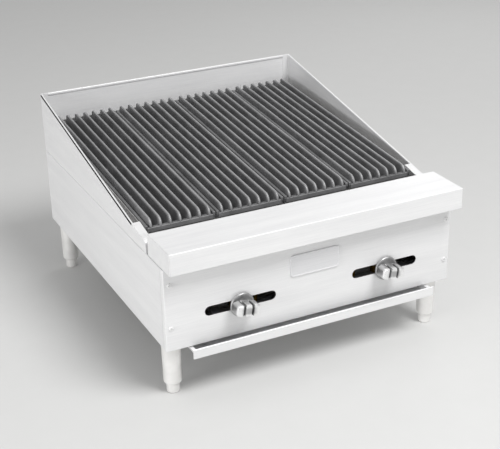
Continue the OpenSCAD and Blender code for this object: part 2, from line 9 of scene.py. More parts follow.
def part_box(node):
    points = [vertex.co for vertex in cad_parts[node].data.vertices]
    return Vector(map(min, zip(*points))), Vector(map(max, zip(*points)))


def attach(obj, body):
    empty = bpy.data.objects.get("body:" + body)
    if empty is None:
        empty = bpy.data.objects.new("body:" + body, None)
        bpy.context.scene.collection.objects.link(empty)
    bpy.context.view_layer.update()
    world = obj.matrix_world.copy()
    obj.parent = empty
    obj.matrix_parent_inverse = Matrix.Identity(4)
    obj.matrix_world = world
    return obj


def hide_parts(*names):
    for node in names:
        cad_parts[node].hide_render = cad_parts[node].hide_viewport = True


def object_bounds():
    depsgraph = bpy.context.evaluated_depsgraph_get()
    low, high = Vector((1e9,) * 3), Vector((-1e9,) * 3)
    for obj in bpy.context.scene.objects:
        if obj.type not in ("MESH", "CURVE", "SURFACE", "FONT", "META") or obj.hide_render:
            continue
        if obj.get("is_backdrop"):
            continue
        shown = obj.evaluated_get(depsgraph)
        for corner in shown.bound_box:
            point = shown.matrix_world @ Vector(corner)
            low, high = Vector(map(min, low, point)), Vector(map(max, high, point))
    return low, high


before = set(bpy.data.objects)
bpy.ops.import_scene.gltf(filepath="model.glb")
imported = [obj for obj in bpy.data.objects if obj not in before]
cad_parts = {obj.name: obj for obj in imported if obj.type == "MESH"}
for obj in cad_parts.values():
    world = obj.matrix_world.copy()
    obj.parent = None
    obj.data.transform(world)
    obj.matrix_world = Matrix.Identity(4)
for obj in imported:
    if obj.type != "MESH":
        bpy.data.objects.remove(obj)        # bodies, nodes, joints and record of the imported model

bl_info = {
    "name": "Countertop gas charbroiler",
    "version": (1, 0, 0),
    "blender": (4, 5, 0),
    "location": "3D View > Sidebar > Charbroiler",
    "description": "Builds the visible pieces of a countertop gas charbroiler around its packed frame",
    "category": "Object",
}

# ---------- measures ----------

MM = 0.001
X, Y, Z = 0, 1, 2


def corners(node):
    """Lowest and highest corner of a CAD node in millimetres, from the front panel's face and body's underside."""
    return [np.array(corner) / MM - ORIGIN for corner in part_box(node)]


ORIGIN = np.zeros(3)
ORIGIN = np.array([0.0, corners("front_panel")[0][Y], corners("side_panel_left")[0][Z]])
HALF_W = corners("side_panel_right")[1][X]
BODY_H = corners("side_panel_right")[1][Z]
BACK_Y = corners("side_panel_right")[1][Y]
GUARD_LOW, GUARD_TOP = corners("guard_back")[0][Z] + 2.0, corners("guard_back")[1][Z]
LEDGE_LOW, LEDGE_HIGH = corners("landing_ledge")
LEG_END = corners("leg_front_left")[0][Z]
FLOOR = corners("foot_front_left")[0][Z]
CAMERA = np.array([-955.151, -1694.332, 1077.984])      # measured from where the other measures start


def linear(code):
    """An sRGB hex value as linear red, green and blue."""
    srgb = np.array([int(code[i:i + 2], 16) for i in (1, 3, 5)]) / 255
    return tuple(np.where(srgb <= 0.04045, srgb / 12.92, ((srgb + 0.055) / 1.055) ** 2.4))


def length_property(name, description, default):
    """A length in millimetres as the user sees it."""
    return FloatProperty(name=name, description=description, default=default, min=0.0, precision=2, subtype="NONE")


def colour_property(name, description, code):
    """A colour whose default is an sRGB hex value."""
    return FloatVectorProperty(
        name=name, description=description, default=linear(code), size=3, min=0, max=1, subtype="COLOR"
    )


class SheetSizes(bpy.types.PropertyGroup):
    """Sizes of the folded sheet metal, in millimetres."""
    gauge: length_property("Sheet", "Thickness of the stainless sheet", 1.2)
    bend: length_property("Bend", "Inner radius of a bend", 1.3)
    slot_width: length_property("Slot width", "Length of a lighting slot", 145.0)
    slot_height: length_property("Slot height", "Height of a lighting slot", 19.5)
    slot_z: length_property("Slot height above body", "Middle of the lighting slots above the underside", 63.5)
    control_x: length_property("Control distance", "Distance of knobs and slots from the middle", 154.5)
    panel_return: length_property("Panel return", "Depth of the front panel's folded edges", 12.0)


class GrateSizes(bpy.types.PropertyGroup):
    """Sizes of the cast grates, in millimetres."""
    pitch: length_property("Grate pitch", "Distance between the middles of neighbouring grates", 143.8)
    rib_pitch: length_property("Rib pitch", "Distance between ribs", 19.6)
    ribs: IntProperty(name="Ribs", description="Ribs of one grate", default=7, min=1, max=12)
    rib_width: length_property("Rib width", "Width of a rib below its crest", 8.4)
    front_y: length_property("Front", "Front end of the ribs behind the panel's face", 120.0)
    front_z: length_property("Front height", "Crest height at the front", 208.0)
    rise: FloatProperty(name="Rise", description="Rise of the crests per unit of depth", default=0.0739, precision=4)
    length: length_property("Length", "Length of the ribs along their slope", 535.0)


class KnobSizes(bpy.types.PropertyGroup):
    """Sizes of the control knobs, in millimetres."""
    bar_height: length_property("Bar height", "Height of the grip bar", 23.0)
    groove_place: length_property("Groove distance", "Distance of the finger grooves from the middle", 8.5)
    groove: length_property("Groove depth", "Depth of the finger grooves", 4.4)
    turn: FloatProperty(name="Bar angle", description="Angle of the grip bar in degrees when off", default=-8.0)


class Finishes(bpy.types.PropertyGroup):
    """Base colours of the finishes."""
    stainless: colour_property("Stainless sheet", "Brushed stainless steel", "#EDEDED")
    stainless_dark: colour_property("Stainless in grain", "Darker streaks of the brushing", "#DDDDDE")
    iron: colour_property("Seasoned iron", "Oil-seasoned cast iron", "#7A7A7B")
    # The worn iron colour is both crest wear and a painted highlight along each rib's crest.
    iron_crest_wear_and_sheen: colour_property("Worn iron", "Iron rubbed bright on the crests", "#A0A0A1")
    radiant: colour_property("Burnt iron", "Bare cast iron scaled by flame", "#4B4744")
    # The two knob colours carry painted light: the pale one is a painted highlight on the grip's front rim, and the
    # dark one is a painted shade in its grooves.
    knob: colour_property("Die-cast metal", "Zinc die casting where hands polish it", "#F4F4F4")
    knob_painted_shade: colour_property("Dull casting", "Zinc die casting in its grooves", "#343436")
    nickel: colour_property("Satin nickel", "Plated steel of legs and feet", "#F1F0EE")
    zinc: colour_property("Zinc plate", "Zinc-plated screws and bolts", "#F2F2F2")
    # The pipe grey is paler than real mill scale, and the aluminised grey is set on the pale side: both are a painted
    # lightening, so that these parts show in the shade behind the slots.
    aluminised: colour_property("Aluminised sheet", "Hot-dip aluminised steel", "#D6D6D6")
    brass: colour_property("Brass", "Machined brass", "#C9A24B")
    pipe: colour_property("Black pipe", "Mill scale on gas pipe", "#84848A")
    floor: colour_property("Floor", "Pale matt floor", "#CFCFCE")


class StageSettings(bpy.types.PropertyGroup):
    """Camera and light."""
    lens: FloatProperty(name="Lens", description="Focal length in millimetres on a 36 mm sensor", default=83.66)
    azimuth: FloatProperty(name="Azimuth", description="Camera azimuth in degrees", default=-25.8947)
    elevation: FloatProperty(name="Elevation", description="Camera elevation in degrees", default=24.5731)
    roll: FloatProperty(name="Roll", description="Camera roll in degrees", default=-1.2289)
    place: FloatVectorProperty(
        name="Camera place", description="Camera location", default=tuple((CAMERA + ORIGIN) * MM),
        subtype="TRANSLATION", unit="LENGTH",
    )
    key: FloatProperty(name="Key", description="Power of the overhead light", default=88, unit="POWER")
    fill: FloatProperty(name="Fill", description="Power of the front fill light", default=35, unit="POWER")
    rim: FloatProperty(name="Rim", description="Power of the light behind the right corner", default=6, unit="POWER")
    sky: FloatProperty(name="Surround", description="Brightness of the pale surround", default=0.53)


# ---------- surfaces ----------

def rounded(points, radius, steps=4):
    """Closed outline whose corners are arcs that touch both sides: each arc turns evenly from one side's normal to the
    next one's."""
    p = np.asarray(points, float)
    r = np.broadcast_to(np.asarray(radius, float), len(p))[:, None]
    back, ahead = np.roll(p, 1, 0) - p, np.roll(p, -1, 0) - p
    back /= np.linalg.norm(back, axis=1, keepdims=True)
    ahead /= np.linalg.norm(ahead, axis=1, keepdims=True)
    half = np.arccos(np.clip((back * ahead).sum(1, keepdims=True), -1, 1)) / 2
    middle = back + ahead
    centre = p + middle / np.linalg.norm(middle, axis=1, keepdims=True) * r / np.sin(half)
    start = (p + back * r / np.tan(half) - centre)[:, None]
    end = (p + ahead * r / np.tan(half) - centre)[:, None]
    turn = (math.pi - 2 * half)[:, None]
    t = np.linspace(0, 1, steps + 1)[None, :, None]
    arc = (np.sin((1 - t) * turn) * start + np.sin(t * turn) * end) / np.sin(turn)
    return (centre[:, None] + arc).reshape(-1, 2)


def folded(path, gauge, bend, steps=4):
    """Closed outline of a sheet bent along a path: the path is its left face, and the right face is the same path,
    mitred, a gauge away."""
    p = np.asarray(path, float)
    d = np.diff(p, axis=0)
    d /= np.linalg.norm(d, axis=1, keepdims=True)
    n = np.stack([d[:, 1], -d[:, 0]], -1)
    mitre = (n[:-1] + n[1:]) / (1 + (n[:-1] * n[1:]).sum(1, keepdims=True))
    other = p + gauge * np.concatenate([n[:1], mitre, n[-1:]])
    left_turn = d[:-1, 0] * d[1:, 1] - d[:-1, 1] * d[1:, 0] > 0
    near = np.where(left_turn, bend, bend + gauge)
    far = np.where(left_turn, bend + gauge, bend)
    edge = [abs(gauge) * 0.3]
    return rounded(np.concatenate([p, other[::-1]]), np.concatenate([edge, near, edge, edge, far[::-1], edge]), steps)


def box_outline(low, high, radius=0.3, steps=2):
    """Rectangle with round corners from its lowest and highest corner."""
    return rounded([low, (high[0], low[1]), high, (low[0], high[1])], radius, steps)


def faced_out(points, faces):
    """The same closed shell with its faces turned outwards: its signed volume, summed over fans of triangles, is made
    positive."""
    volume = 0.0
    for group in faces:
        a = points[group[:, 0]]
        for k in range(1, group.shape[1] - 1):
            volume += np.einsum("ij,ij->", a, np.cross(points[group[:, k]], points[group[:, k + 1]]))
    return points, ([group[:, ::-1] for group in faces] if volume < 0 else faces)


def shell(rings, ends=True):
    """Closed shell through rings of points: point j of ring i joins point j + 1 and ring i + 1. The end rings are
    filled, or joined to each other."""
    n, m = rings.shape[:2]
    i = np.arange(n - 1 if ends else n)[:, None]
    j = np.arange(m)[None, :]
    a, b, up = i * m, ((i + 1) % n) * m, (j + 1) % m
    quads = np.stack([a + j, a + up, b + up, b + j], -1).reshape(-1, 4)
    faces = [quads]
    if ends:
        faces += [np.arange(m)[None, ::-1], (n - 1) * m + np.arange(m)[None]]
    return faced_out(rings.reshape(-1, 3), faces)


def squares(rows, columns):
    """The four corner numbers of every square of a grid of points, row after row."""
    index = np.arange(rows * columns).reshape(rows, columns)
    return np.stack([index[:-1, :-1], index[1:, :-1], index[1:, 1:], index[:-1, 1:]], -1)


def slab(outline, low, high, axis, rim=0.3, steps=2):
    """An outline carried from low to high along an axis, its two rims quarter circles: at angle a the outline is drawn
    in by rim (1 - sin a) and lies rim (1 - cos a) inside the end."""
    p = np.asarray(outline, float)
    if np.sum(p[:, 0] * np.roll(p[:, 1], -1) - np.roll(p[:, 0], -1) * p[:, 1]) < 0:
        p = p[::-1]
    along = np.roll(p, -1, 0) - np.roll(p, 1, 0)
    normal = np.stack([along[:, 1], -along[:, 0]], -1) / np.linalg.norm(along, axis=1, keepdims=True)
    a = np.linspace(0, math.pi / 2, steps + 1)
    inset, depth = rim * (1 - np.sin(a)), rim * (1 - np.cos(a))
    insets = np.concatenate([inset, inset[::-1]])[:, None, None]
    place = np.concatenate([low + depth, (high - depth)[::-1]])[:, None]
    flat = p[None] - insets * normal[None]
    rings = np.empty((*flat.shape[:2], 3))
    across = [k for k in (X, Y, Z) if k != axis]
    rings[..., across[0]], rings[..., across[1]], rings[..., axis] = flat[..., 0], flat[..., 1], place
    return shell(rings)


def lathe(profile, centre, axis, steps=64):
    """A profile of (radius, height) pairs turned about an axis through a centre: the point at angle a lies at radius
    (cos a, sin a)."""
    r, h = np.asarray(profile, float).T
    a = np.arange(steps) * 2 * math.pi / steps
    rings = np.empty((len(r), steps, 3))
    across = [k for k in (X, Y, Z) if k != axis]
    rings[..., across[0]] = centre[across[0]] + r[:, None] * np.cos(a)
    rings[..., across[1]] = centre[across[1]] + r[:, None] * np.sin(a)
    rings[..., axis] = centre[axis] + h[:, None]
    return shell(rings)


def round_edge(radius, height, edge, steps=4):
    """Quarter circle of radius and height pairs at a lathe profile's outer edge, going up: radius grows by edge sin a."""
    a = np.linspace(0, math.pi / 2, steps + 1)
    return np.stack([radius - edge + edge * np.sin(a), height - edge * np.cos(a)], -1)


def mirrored(shells):
    """The same shells on the other side of the middle plane, faces still outwards."""
    return [(points * [-1, 1, 1], [group[:, ::-1] for group in faces]) for points, faces in shells]


def make_piece(name, shells, body, nodes, slot_name, material, sharp=32.0, flat_faces=True, **attributes):
    """Joins shells into one mesh piece, in the frame of the whole, riding on a body and standing for CAD nodes."""
    points = np.concatenate([p for p, _ in shells])
    faces, first = [], 0
    for p, groups in shells:
        faces += [row for group in groups for row in (group + first).tolist()]
        first += len(p)
    mesh = bpy.data.meshes.new(name)
    mesh.from_pydata(((points + ORIGIN) * MM).tolist(), [], faces)
    for key, values in attributes.items():
        mesh.attributes.new(key, "FLOAT", "POINT").data.foreach_set("value", np.asarray(values, np.float32))
    mesh.polygons.foreach_set("use_smooth", np.ones(len(faces), bool))
    mesh.validate()
    mesh.set_sharp_from_angle(angle=math.radians(sharp))
    mesh.materials.append(material)
    piece = bpy.data.objects.new(name, mesh)
    bpy.context.scene.collection.objects.link(piece)
    if flat_faces:
        weighted = piece.modifiers.new("Flat faces", "WEIGHTED_NORMAL")
        weighted.keep_sharp, weighted.weight = True, 80
    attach(piece, body)
    if nodes:
        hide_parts(*nodes)
    return piece


# ---------- finishes ----------

def add(tree, kind, settings=None, values=None, links=None):
    """Adds a shader node with its settings, its socket values and the links into it."""
    node = tree.nodes.new(kind)
    for key, value in (settings or {}).items():
        setattr(node, key, value)
    for key, value in (values or {}).items():
        node.inputs[key].default_value = value
    for key, socket in (links or {}).items():
        tree.links.new(socket, node.inputs[key])
    return node


def blank_material(name):
    """A new node material, with its tree, its shader and the object's own coordinates."""
    material = bpy.data.materials.get(name) or bpy.data.materials.new(name)
    material.use_nodes = True
    tree = material.node_tree
    tree.nodes.clear()
    shader = add(tree, "ShaderNodeBsdfPrincipled")
    add(tree, "ShaderNodeOutputMaterial", links={"Surface": shader.outputs[0]})
    return material, tree, shader, add(tree, "ShaderNodeTexCoord").outputs["Object"]


def feed(tree, shader, colour, rough, normal, metallic=0.0):
    """Links a shader's colour, roughness and bump, and sets how metallic it is."""
    for name, socket in (("Base Color", colour), ("Roughness", rough), ("Normal", normal)):
        tree.links.new(socket, shader.inputs[name])
    shader.inputs["Metallic"].default_value = metallic


def noise(tree, where, size, detail=3.0, roughness=0.55, stretch=(1, 1, 1)):
    """Noise whose cells are so many millimetres across, longer along an axis by its stretch."""
    mapping = add(tree, "ShaderNodeMapping", values={"Scale": [1 / (size * MM * s) for s in stretch]},
                  links={"Vector": where})
    return add(tree, "ShaderNodeTexNoise", values={"Scale": 1.0, "Detail": detail, "Roughness": roughness},
               links={"Vector": mapping.outputs[0]}).outputs[0]


def spread(tree, value, low, high, start=0.3, end=0.7):
    """A noise value spread over a range."""
    return add(tree, "ShaderNodeMapRange", links={"Value": value},
               values={"From Min": start, "From Max": end, "To Min": low, "To Max": high}).outputs[0]


def tint(tree, value, dark, light, start=0.3, end=0.7):
    """A noise value turned into a colour between two others."""
    ramp = add(tree, "ShaderNodeValToRGB", links={"Fac": value})
    for element, place, colour in zip(ramp.color_ramp.elements, (start, end), (dark, light)):
        element.position, element.color = place, (*colour, 1)
    return ramp.outputs[0]


def blend_colour(tree, factor, first, second):
    """A colour socket turned towards a plain colour by a factor."""
    return add(tree, "ShaderNodeMix", {"data_type": "RGBA"}, {7: (*second, 1)}, {0: factor, 6: first}).outputs[2]


def total(tree, first, second, operation="ADD"):
    """Two values added, or multiplied."""
    return add(tree, "ShaderNodeMath", {"operation": operation}, links={0: first, 1: second}).outputs[0]


def bump(tree, height, strength, distance, under=None):
    """A bump whose height is a noise, its distance in millimetres."""
    links = {"Height": height}
    if under is not None:
        links["Normal"] = under
    values = {"Strength": strength, "Distance": distance * MM}
    return add(tree, "ShaderNodeBump", values=values, links=links).outputs[0]


def brushed_stainless(name, axis, colour, streak, rough=0.44):
    """Stainless steel sheet, belt-brushed along one axis. The brushing spreads reflections into soft streaks along the
    grain. Real scratches are about 0.1 mm wide; they are drawn 1.2 mm wide so that they show."""
    material, tree, shader, where = blank_material(name)
    stretch = [1.0, 1.0, 1.0]
    stretch[axis] = 70.0
    grain = noise(tree, where, 1.2, 4.0, 0.65, stretch)
    stretch[axis] = 12.0
    band = noise(tree, where, 22.0, 3.0, 0.5, stretch)
    smear = noise(tree, where, 130.0, 4.0, 0.6)
    mix = total(tree, spread(tree, grain, 0.0, 0.6), spread(tree, band, 0.0, 0.4))
    feed(tree, shader, tint(tree, mix, streak, colour, 0.0, 1.0),
         total(tree, spread(tree, grain, rough - 0.05, rough + 0.04), spread(tree, smear, -0.03, 0.05)),
         bump(tree, grain, 0.10, 0.15, bump(tree, smear, 0.05, 2.0)), 0.25)
    return material


def seasoned_iron(name, iron, crest_wear_and_sheen, rough=0.5):
    """Sand-cast grey iron with a baked oil seasoning: a dark, slightly oily skin over a pebbled casting, rubbed to bare
    metal on the crests, the bright crests also standing for a painted highlight along each rib. The sand's grain of 0.5
    mm is drawn 1.6 mm wide so that it shows."""
    material, tree, shader, where = blank_material(name)
    sand = noise(tree, where, 1.6, 3.0, 0.6)
    soot = noise(tree, where, 34.0, 4.0, 0.6)
    scrape = noise(tree, where, 9.0, 3.0, 0.6, (1, 5, 1))
    crest = add(tree, "ShaderNodeAttribute", {"attribute_name": "crest"}).outputs["Fac"]
    # The crests are blended to the pale iron: real rubbing, and also a painted highlight along each rib.
    rubbed = total(tree, crest, spread(tree, scrape, 0.55, 1.0, 0.3, 0.6), "MULTIPLY")
    skin = tint(tree, total(tree, spread(tree, soot, 0.0, 0.6), spread(tree, sand, 0.0, 0.4)),
                tuple(0.62 * c for c in iron), tuple(1.25 * c for c in iron), 0.0, 1.0)
    feed(tree, shader, blend_colour(tree, rubbed, skin, crest_wear_and_sheen),
         total(tree, spread(tree, sand, rough - 0.06, rough + 0.10), spread(tree, soot, -0.05, 0.05)),
         bump(tree, sand, 0.35, 0.5, bump(tree, soot, 0.15, 1.0)), 0.25)
    return material


def scaled_iron(name, iron):
    """Bare grey cast iron over a flame: matt, with brown and grey scale in patches of some 20 mm."""
    material, tree, shader, where = blank_material(name)
    scale = noise(tree, where, 20.0, 5.0, 0.65)
    sand = noise(tree, where, 1.8, 3.0, 0.6)
    feed(tree, shader, tint(tree, scale, tuple(0.7 * c for c in iron), linear("#6A5F57")),
         spread(tree, scale, 0.62, 0.85), bump(tree, sand, 0.4, 0.5))
    return material


def satin_metal(name, colour, rough, pit=0.9, depth=0.06, wave=28.0, metallic=1.0):
    """A cast, plated or machined metal with a satin skin: fine pits and slow waves that break up its highlights. A lower
    metallic value keeps a plated part pale where there is little to reflect."""
    material, tree, shader, where = blank_material(name)
    pits = noise(tree, where, pit, 3.0, 0.6)
    waves = noise(tree, where, wave, 3.0, 0.5)
    feed(tree, shader, tint(tree, waves, tuple(0.88 * c for c in colour), colour),
         total(tree, spread(tree, pits, rough - 0.05, rough + 0.05), spread(tree, waves, -0.03, 0.04)),
         bump(tree, pits, 0.25, depth, bump(tree, waves, 0.08, 0.6)), metallic)
    return material


# dull is the colour of the painted shade in the grooves, and rubbed is the colour of the painted highlight on the rim.
def handled_casting(name, dull, rubbed):
    """Satin zinc die casting with light painted into its colour: a painted shade in its grooves and a painted highlight
    on the rim of its grip. Its skin is peened, with dimples of about 1 mm."""
    material, tree, shader, where = blank_material(name)
    dimples = noise(tree, where, 1.1, 3.0, 0.6)
    waves = noise(tree, where, 14.0, 3.0, 0.5)
    wear = add(tree, "ShaderNodeAttribute", {"attribute_name": "wear"}).outputs["Fac"]
    # The colour runs from the painted shade in the grooves to the painted highlight on the grip's rim, and the
    # roughness follows the same value.
    feed(tree, shader, tint(tree, total(tree, wear, spread(tree, waves, -0.08, 0.08)), dull, rubbed, 0.0, 1.0),
         total(tree, spread(tree, wear, 0.46, 0.30, 0.0, 1.0), spread(tree, dimples, -0.04, 0.05)),
         bump(tree, dimples, 0.25, 0.08, bump(tree, waves, 0.08, 0.6)), 0.85)
    return material


def spangled_sheet(name, colour):
    """Hot-dip aluminised steel sheet: a dull grey coat with faint spangles 8 mm across and heat tint in patches."""
    material, tree, shader, where = blank_material(name)
    mapping = add(tree, "ShaderNodeMapping", values={"Scale": [1 / (8 * MM)] * 3}, links={"Vector": where})
    cells = add(tree, "ShaderNodeTexVoronoi", values={"Scale": 1.0}, links={"Vector": mapping.outputs[0]})
    grey = add(tree, "ShaderNodeRGBToBW", links={"Color": cells.outputs["Color"]}).outputs[0]
    heat = noise(tree, where, 90.0, 4.0, 0.6)
    coat = tint(tree, grey, tuple(0.84 * c for c in colour), colour, 0.2, 0.8)
    feed(tree, shader, blend_colour(tree, spread(tree, heat, 0.0, 0.45), coat, linear("#857C72")),
         total(tree, spread(tree, grey, 0.40, 0.50, 0.2, 0.8), spread(tree, heat, 0.0, 0.08)),
         bump(tree, heat, 0.1, 0.8), 0.45)
    return material


def mill_pipe(name, colour):
    """Black steel gas pipe: mill scale, drawn lengthwise, with rubbed patches. Its grey is paler than real scale, so that
    the pipe can be made out in the dark behind the slots."""
    material, tree, shader, where = blank_material(name)
    drawn = noise(tree, where, 2.0, 3.0, 0.6, (1, 20, 1))
    rubbed = noise(tree, where, 40.0, 4.0, 0.6)
    feed(tree, shader, tint(tree, rubbed, colour, linear("#B2B2B5"), 0.45, 0.75),
         spread(tree, drawn, 0.42, 0.58), bump(tree, drawn, 0.15, 0.2), 0.3)
    return material


FINISH = {}


def finishes():
    """The object's materials by their short names."""
    if not FINISH:
        f = bpy.context.scene.charbroiler_finishes
        steel, streak = tuple(f.stainless), tuple(f.stainless_dark)
        FINISH.update(
            across=brushed_stainless("stainless_brushed_across", X, steel, streak),
            deep=brushed_stainless("stainless_brushed_lengthwise", Y, steel, streak),
            plate=brushed_stainless("nameplate_brushed_stainless", X, linear("#E6E6E7"), linear("#D2D2D4"), 0.36),
            iron=seasoned_iron("cast_iron_seasoned", tuple(f.iron), tuple(f.iron_crest_wear_and_sheen)),
            radiant=scaled_iron("cast_iron_flame_scaled", tuple(f.radiant)),
            knob=handled_casting("zinc_die_cast_satin", tuple(f.knob_painted_shade), tuple(f.knob)),
            nickel=satin_metal("steel_satin_nickel_plated", tuple(f.nickel), 0.34, metallic=0.4),
            zinc=satin_metal("steel_zinc_plated", tuple(f.zinc), 0.30, 0.8, 0.05, 12.0, 0.4),
            aluminised=spangled_sheet("steel_sheet_aluminised", tuple(f.aluminised)),
            brass=satin_metal("brass_machined", tuple(f.brass), 0.28, 0.7, 0.03, 10.0),
            soft_tube=satin_metal("aluminium_tube_drawn", linear("#B9BBBD"), 0.35, 0.9, 0.03, 18.0),
            pipe=mill_pipe("steel_pipe_black", tuple(f.pipe)),
        )
    return FINISH


# ---------- sheet metal ----------

def fold(distance, flat, radius):
    """Place and depth of a point on a sheet bent back at both sides: flat, then a quarter circle, then straight back."""
    size = np.abs(distance)
    angle = np.clip((size - flat) / radius, 0, math.pi / 2)
    beyond = np.maximum(size - flat - radius * math.pi / 2, 0)
    place = np.minimum(size, flat) + radius * np.sin(angle)
    return np.sign(distance) * place, radius * (1 - np.cos(angle)) + beyond


def slot_ring(box_s, box_t, centre, size):
    """Rings of points between a slot with round ends and the box round it: each point of the box looks to the nearest
    point of the slot's middle line, and its partner lies on that line of sight at the slot's radius."""
    rim = np.concatenate([
        np.stack([box_s[:-1], np.full(len(box_s) - 1, box_t[0])], -1),
        np.stack([np.full(len(box_t) - 1, box_s[-1]), box_t[:-1]], -1),
        np.stack([box_s[:0:-1], np.full(len(box_s) - 1, box_t[-1])], -1),
        np.stack([np.full(len(box_t) - 1, box_s[0]), box_t[:0:-1]], -1),
    ]) - centre
    half = (size[0] - size[1]) / 2
    spine = np.stack([np.clip(rim[:, 0], -half, half), np.zeros(len(rim))], -1)
    sight = rim - spine
    hole = spine + sight / np.linalg.norm(sight, axis=1, keepdims=True) * size[1] / 2
    share = np.array([0, 0.25, 1])[:, None, None]
    return hole * (1 - share) + rim * share + centre


def front_sheet(sizes):
    """Points and faces of the front panel's outer face: a grid in the sheet's own flat plane, with the two slots left
    out, bent back along all four edges by fold()."""
    radius = sizes.bend + sizes.gauge
    half_t = BODY_H / 2
    flat_s, flat_t = HALF_W - radius, half_t - radius
    arc = radius * math.pi / 2
    back = sizes.panel_return - radius
    bend = np.linspace(0, arc, 6)
    slot_t = sizes.slot_z - half_t
    wide, high = sizes.slot_width / 2 + 9, sizes.slot_height / 2 + 9
    slot_s = [np.linspace(side * sizes.control_x - wide, side * sizes.control_x + wide, 29) for side in (-1, 1)]
    box_t = np.linspace(slot_t - high, slot_t + high, 13)
    tail_s, tail_t = np.append(flat_s + bend, flat_s + arc + back), np.append(flat_t + bend, flat_t + arc + back)
    s = np.concatenate([-tail_s[::-1], slot_s[0], slot_s[1], tail_s])
    t = np.concatenate([-tail_t[::-1], box_t, tail_t])
    grid = np.stack(np.meshgrid(s, t, indexing="ij"), -1)
    quads = squares(*grid.shape[:2])
    middle_s, middle_t = (s[:-1] + s[1:]) / 2, (t[:-1] + t[1:]) / 2
    in_slot = np.any([(middle_s > line[0]) & (middle_s < line[-1]) for line in slot_s], axis=0)
    hole = in_slot[:, None] & ((middle_t > box_t[0]) & (middle_t < box_t[-1]))[None]
    corner = (np.abs(middle_s) > flat_s + arc)[:, None] & (np.abs(middle_t) > flat_t + arc)[None]
    quads = quads[~(hole | corner)].reshape(-1, 4)
    flat, faces = [grid.reshape(-1, 2)], [quads]
    for side, line in zip((-1, 1), slot_s):
        centre = np.array([side * sizes.control_x, slot_t])
        rings = slot_ring(line, box_t, centre, (sizes.slot_width, sizes.slot_height))
        n, m = rings.shape[:2]
        i, j = np.arange(n - 1)[:, None] * m, np.arange(m)[None]
        ring = np.stack([i + j, i + m + j, i + m + (j + 1) % m, i + (j + 1) % m], -1).reshape(-1, 4)
        faces.append(ring + sum(len(p) for p in flat))
        flat.append(rings.reshape(-1, 2))
    flat, faces = np.concatenate(flat), np.concatenate(faces)
    _, first, same = np.unique(np.round(flat, 4), axis=0, return_index=True, return_inverse=True)
    flat, faces = flat[first], same.reshape(-1)[faces]
    used, faces = np.unique(faces, return_inverse=True)
    flat, faces = flat[used], faces.reshape(-1, 4)
    x, depth_s = fold(flat[:, 0], flat_s, radius)
    z, depth_t = fold(flat[:, 1], flat_t, radius)
    y = depth_s + depth_t - np.minimum(depth_s, radius) * np.minimum(depth_t, radius) / radius
    points = np.stack([x, y, z + half_t], -1)
    a, b, c = (points[faces[:, k]] for k in range(3))
    middle = np.abs(points[faces].mean(1)[:, 1]) < 0.01
    if np.cross(b - a, c - a)[middle, 1].sum() > 0:
        faces = faces[:, ::-1]
    return points, [faces]


